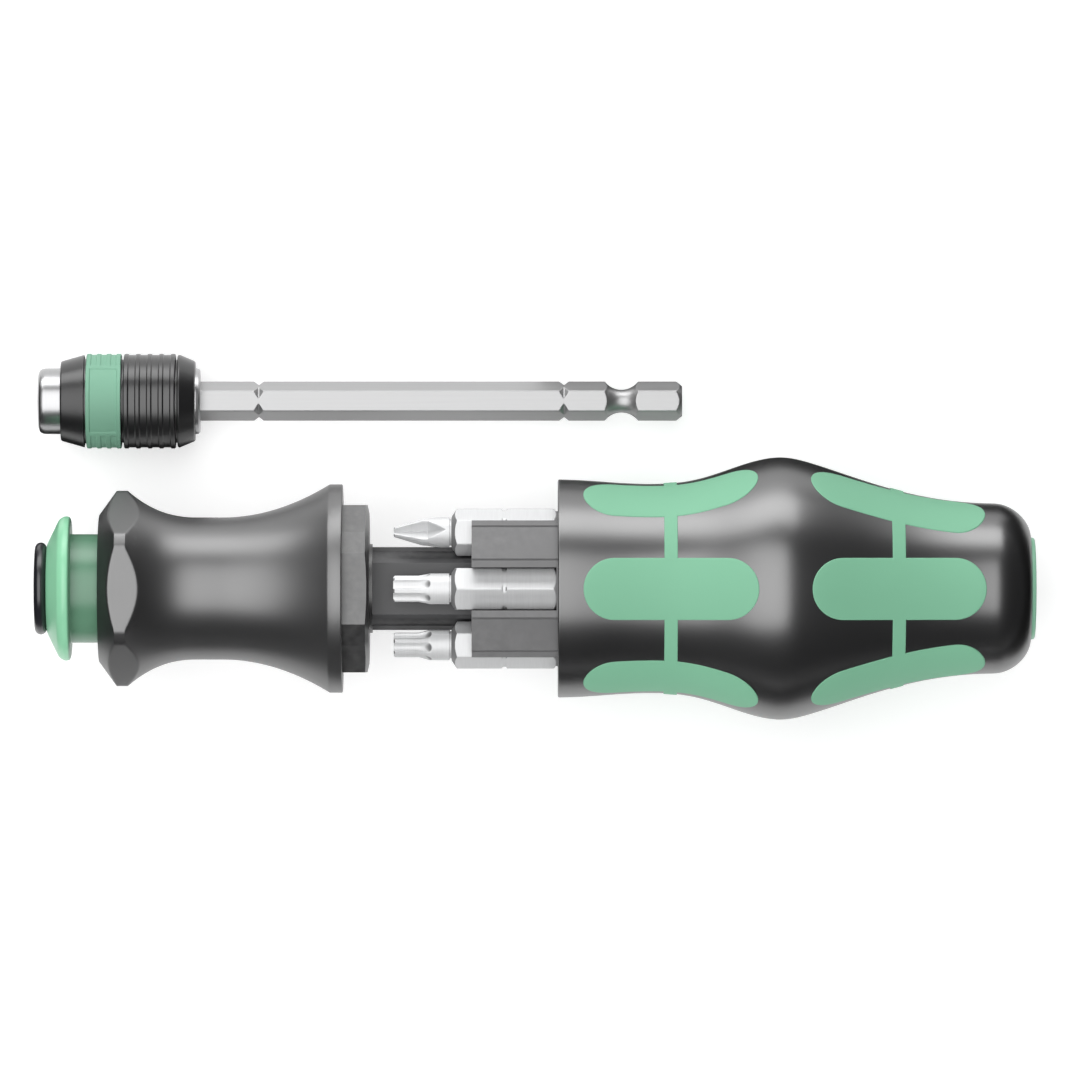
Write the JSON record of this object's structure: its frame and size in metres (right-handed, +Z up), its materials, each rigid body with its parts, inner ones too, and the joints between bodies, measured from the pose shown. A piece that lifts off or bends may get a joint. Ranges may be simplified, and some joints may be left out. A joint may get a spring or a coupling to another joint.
{
  "type": "bit holder screwdriver",
  "caption": "Screwdriver handle whose sprung magazine of insert bits stands out of the shell, with its loose blade and quick-release bit chuck",
  "frame": {"origin": "mouth of the hexagonal blade socket at the nose of the handle, on the tool axis", "axes": "+X along the tool axis from the nose to the button, +Y across the table from the handle to the blade, +Z up from the table"},
  "size_m": [0.154, 0.0565, 0.0404],
  "materials": {
    "shell_black": "satin-gloss moulded black plastic",
    "soft_green": "matt soft-touch green elastomer",
    "inner_black": "plain moulded black plastic, inside",
    "grip_charcoal": "satin charcoal plastic",
    "key_black": "black plastic",
    "collar_green": "satin green plastic",
    "button_green": "satin green plastic",
    "magazine_grey": "mid-grey moulded plastic",
    "chuck_black": "satin black plastic",
    "bit_steel": "matt satin bit steel",
    "blade_steel": "satin nickel-plated steel",
    "inner_steel": "turned steel",
    "spring_steel": "drawn spring wire",
    "magnet_dark": "nickel-plated magnet"
  },
  "bodies": {
    "handle": {"handle_shell": "shell_black", "soft_band_front": "soft_green", "soft_band_rear": "soft_green", "guide_plate": "inner_black", "latch_frame": "inner_black", "latch_spring": "spring_steel", "ejector_spring": "spring_steel"},
    "magazine": {"front_grip": "grip_charcoal", "key_flange": "key_black", "stem_washer": "key_black", "stem": "magazine_grey", "bit_holder": "magazine_grey", "latch_rod": "inner_steel", "stop_head": "inner_steel", "socket_tube": "inner_steel", "nose_ring": "key_black", "collar_spring": "spring_steel"},
    "blade": {"blade_shank": "blade_steel", "chuck_barrel": "blade_steel", "sleeve_clip": "inner_steel", "rear_cap": "chuck_black", "chuck_washer": "blade_steel", "sleeve_spring": "spring_steel", "magnet_spring": "spring_steel"},
    "button": {"release_button": "button_green"},
    "latch": {"latch_plate": "inner_steel"},
    "collar": {"release_collar": "collar_green"},
    "lock_ball_upper": {"lock_ball_upper": "inner_steel"},
    "lock_ball_lower": {"lock_ball_lower": "inner_steel"},
    "sleeve": {"chuck_sleeve": "chuck_black", "chuck_band": "soft_green"},
    "chuck_ball_upper": {"chuck_ball_upper": "inner_steel"},
    "chuck_ball_lower": {"chuck_ball_lower": "inner_steel"},
    "ring": {"ribbed_ring": "chuck_black"},
    "plunger": {"magnet_cup": "inner_steel", "magnet": "magnet_dark"},
    "bit_torx_large": {"bit_torx_large": "bit_steel"},
    "bit_phillips_large": {"bit_phillips_large": "bit_steel"},
    "bit_slotted": {"bit_slotted": "bit_steel"},
    "bit_hex": {"bit_hex": "bit_steel"},
    "bit_phillips_small": {"bit_phillips_small": "bit_steel"},
    "bit_torx_small": {"bit_torx_small": "bit_steel"}
  },
  "joints": [
    {"name": "magazine_slide", "type": "slide", "parent": "handle", "child": "magazine", "axis": [-1, 0, 0], "range_m": [-0.033, 0], "stiffness_N_per_m": 60, "springref_m": 0.01, "deforming": ["ejector_spring"]},
    {"name": "button_press", "type": "slide", "parent": "handle", "child": "button", "axis": [1, 0, 0], "range_m": [-0.0018, 0], "stiffness_N_per_m": 250, "springref_m": 0.002},
    {"name": "latch_slide", "type": "slide", "parent": "handle", "child": "latch", "axis": [0, 1, 0], "range_m": [-0.0014, 0], "deforming": ["latch_spring"]},
    {"name": "collar_slide", "type": "slide", "parent": "magazine", "child": "collar", "axis": [1, 0, 0], "range_m": [0, 0.003], "stiffness_N_per_m": 300, "springref_m": -0.003, "deforming": ["collar_spring"]},
    {"name": "lock_ball_upper_slide", "type": "slide", "parent": "magazine", "child": "lock_ball_upper", "axis": [0, 1, 0], "range_m": [0, 0.0006]},
    {"name": "lock_ball_lower_slide", "type": "slide", "parent": "magazine", "child": "lock_ball_lower", "axis": [0, -1, 0], "range_m": [0, 0.0006]},
    {"name": "bit_torx_large_pull", "type": "slide", "parent": "magazine", "child": "bit_torx_large", "axis": [0, 0, 1], "range_m": [0, 0.012]},
    {"name": "bit_phillips_large_pull", "type": "slide", "parent": "magazine", "child": "bit_phillips_large", "axis": [0, 0.866, 0.5], "range_m": [0, 0.012]},
    {"name": "bit_slotted_pull", "type": "slide", "parent": "magazine", "child": "bit_slotted", "axis": [0, 0.866, -0.5], "range_m": [0, 0.012]},
    {"name": "bit_hex_pull", "type": "slide", "parent": "magazine", "child": "bit_hex", "axis": [0, 0, -1], "range_m": [0, 0.012]},
    {"name": "bit_phillips_small_pull", "type": "slide", "parent": "magazine", "child": "bit_phillips_small", "axis": [0, -0.866, -0.5], "range_m": [0, 0.012]},
    {"name": "bit_torx_small_pull", "type": "slide", "parent": "magazine", "child": "bit_torx_small", "axis": [0, -0.866, 0.5], "range_m": [0, 0.012]},
    {"name": "blade_draw", "type": "slide", "parent": "handle", "child": "blade", "axis": [-1, 0, 0], "range_m": [0, 0.1]},
    {"name": "sleeve_slide", "type": "slide", "parent": "blade", "child": "sleeve", "axis": [-1, 0, 0], "range_m": [0, 0.002], "stiffness_N_per_m": 300, "springref_m": -0.002, "deforming": ["sleeve_spring"]},
    {"name": "chuck_ball_upper_slide", "type": "slide", "parent": "blade", "child": "chuck_ball_upper", "axis": [0, 1, 0], "range_m": [0, 0.0005]},
    {"name": "chuck_ball_lower_slide", "type": "slide", "parent": "blade", "child": "chuck_ball_lower", "axis": [0, -1, 0], "range_m": [0, 0.0005]},
    {"name": "ring_spin", "type": "hinge", "parent": "blade", "child": "ring", "pos_m": [0.01735, 0.029, -0.01285], "axis": [1, 0, 0], "continuous": true},
    {"name": "magnet_push", "type": "slide", "parent": "blade", "child": "plunger", "axis": [-1, 0, 0], "range_m": [-0.003, 0], "stiffness_N_per_m": 150, "springref_m": 0.002, "deforming": ["magnet_spring"]}
  ],
  "couplings": [
    {"joint": "latch_slide", "follows": "button_press", "ratio": 0.7777},
    {"joint": "lock_ball_upper_slide", "follows": "collar_slide", "ratio": 0.2},
    {"joint": "lock_ball_lower_slide", "follows": "collar_slide", "ratio": 0.2},
    {"joint": "chuck_ball_upper_slide", "follows": "sleeve_slide", "ratio": 0.25},
    {"joint": "chuck_ball_lower_slide", "follows": "sleeve_slide", "ratio": 0.25}
  ]
}
